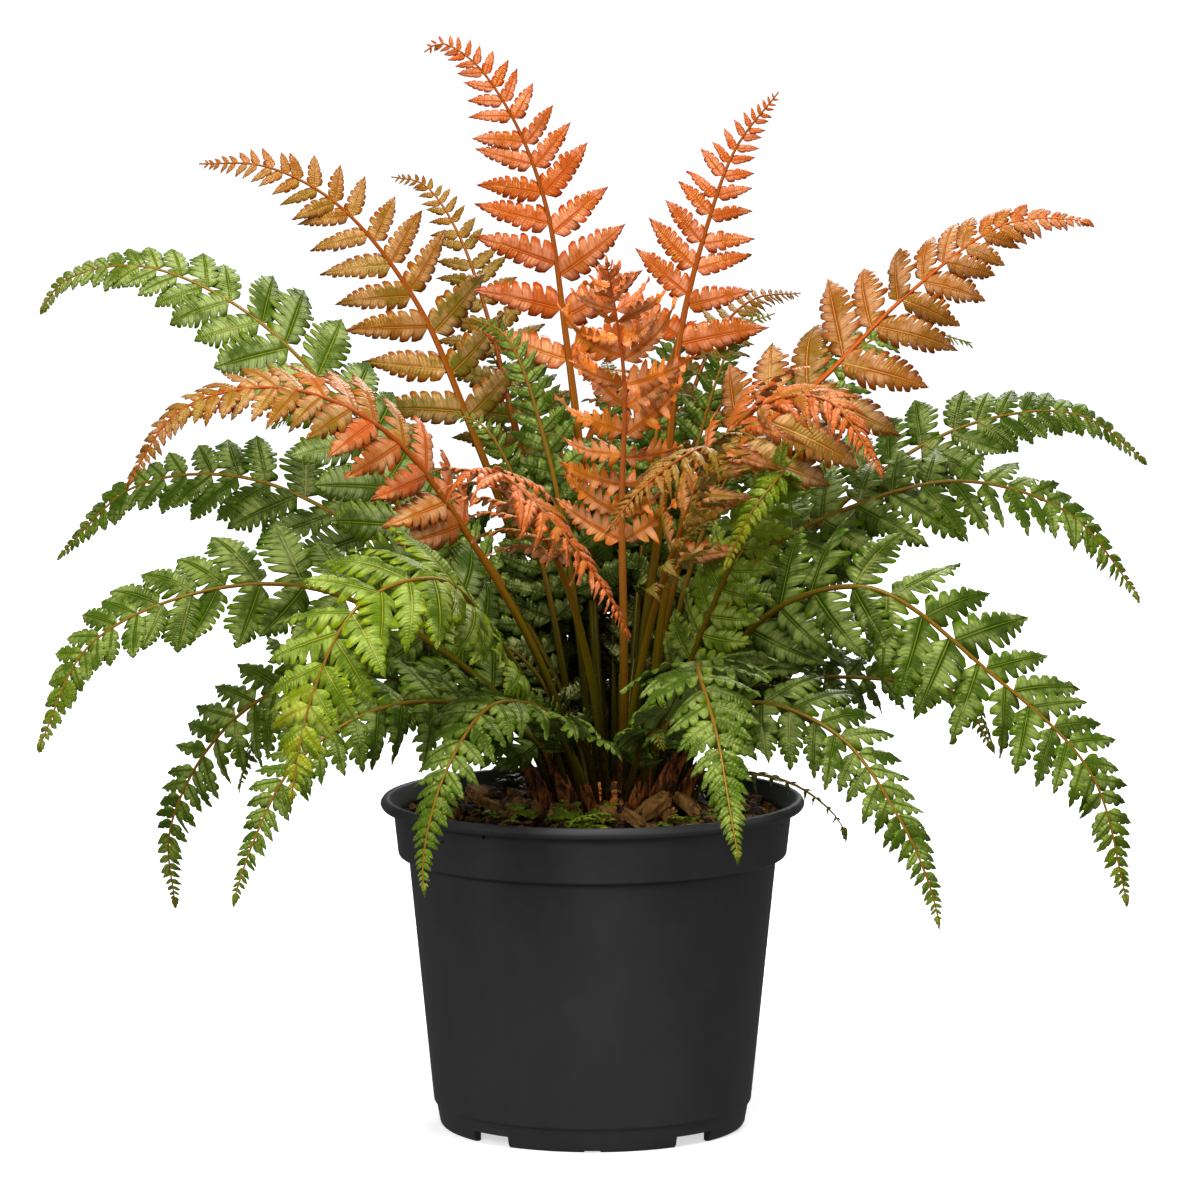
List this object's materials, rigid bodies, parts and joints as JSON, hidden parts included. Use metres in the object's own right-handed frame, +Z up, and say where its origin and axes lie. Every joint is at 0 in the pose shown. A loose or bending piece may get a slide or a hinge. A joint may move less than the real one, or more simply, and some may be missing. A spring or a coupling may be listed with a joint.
{
  "type": "potted fern",
  "caption": "Fern with arching, twice-cut fronds in green, copper and orange, rising from a scaly crown in a round tapered nursery pot filled with potting mix.",
  "frame": {"origin": "on the ground under the centre of the pot, on its axis", "axes": "+Z up, -Y towards the viewer of the picture, +X to that viewer's right"},
  "size_m": [0.501, 0.4117, 0.4855],
  "materials": {
    "pot_plastic": "satin charcoal, finely grained",
    "potting_mix": "crumbly, damp",
    "rootstock": "fibrous, scaly",
    "orange_frond": "satin",
    "salmon_frond": "satin",
    "copper_frond": "satin",
    "bronze_frond": "satin",
    "green_frond": "satin",
    "dark_frond": "satin",
    "lime_frond": "satin"
  },
  "bodies": {
    "root": {"pot": "pot_plastic", "soil": "potting_mix", "crown": "rootstock", "frond_tall_left": "orange_frond", "frond_tall_right": "orange_frond", "frond_tall_middle": "orange_frond", "frond_copper_back_left": "copper_frond", "frond_bronze_back_left": "bronze_frond", "frond_copper_right": "copper_frond", "frond_bronze_back_right": "bronze_frond", "frond_salmon_left": "salmon_frond", "frond_salmon_front": "salmon_frond", "frond_salmon_right": "salmon_frond", "frond_copper_front_low": "bronze_frond", "frond_lime_small": "lime_frond", "frond_green_high_left": "green_frond", "frond_green_mid_left": "dark_frond", "frond_green_low_left": "green_frond", "frond_green_droop_left": "green_frond", "frond_green_droop_front_left": "green_frond", "frond_lime_front_left": "lime_frond", "frond_green_front_left": "green_frond", "frond_green_front_right": "green_frond", "frond_green_droop_right": "green_frond", "frond_green_big_right": "green_frond", "frond_green_mid_right": "green_frond", "frond_green_high_right": "dark_frond", "frond_green_low_right": "dark_frond", "frond_old_thin_right": "dark_frond", "frond_green_back_left": "dark_frond", "frond_green_back_right": "dark_frond", "frond_back_high": "copper_frond", "frond_back_low_left": "green_frond", "frond_back_low_right": "green_frond", "frond_back_low_middle": "green_frond", "frond_back_side_left": "green_frond", "frond_back_side_right": "green_frond", "frond_inner_left": "green_frond", "frond_inner_right": "dark_frond", "frond_green_inner_left": "green_frond"}
  },
  "joints": []
}
